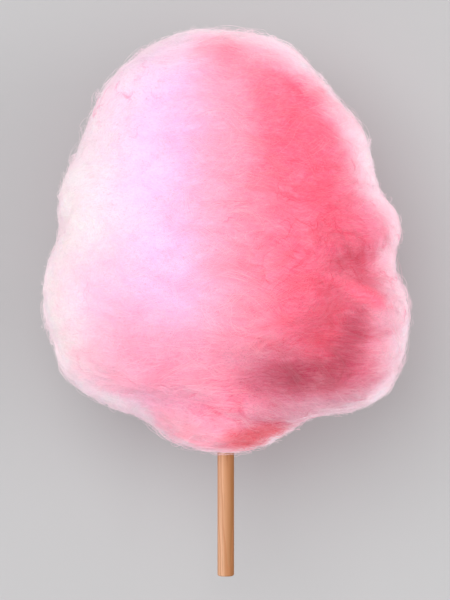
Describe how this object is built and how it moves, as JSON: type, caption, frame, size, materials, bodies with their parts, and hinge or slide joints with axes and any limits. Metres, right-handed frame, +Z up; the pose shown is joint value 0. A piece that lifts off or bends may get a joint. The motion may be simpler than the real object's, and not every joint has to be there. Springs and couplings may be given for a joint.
{
  "type": "cotton candy",
  "caption": "Cotton candy: a puffed, lobed cloud of spun sugar wound on a plain round wooden stick, lying on its back.",
  "frame": {"origin": "on the surface that the cotton candy lies on, under the middle of its whole box", "axes": "+X to the right of the shown side, +Y along the stick from the bare grip towards the crown of the floss, +Z up, out of the shown side"},
  "size_m": [0.2188, 0.3286, 0.1875],
  "materials": {
    "floss": "matt, fine tangled fibres, pale at the rim and deeper pink in the folds",
    "stick": "smooth unvarnished dowel with fine lengthways grain"
  },
  "bodies": {
    "root": {"floss": "floss", "stick": "stick"}
  },
  "joints": []
}
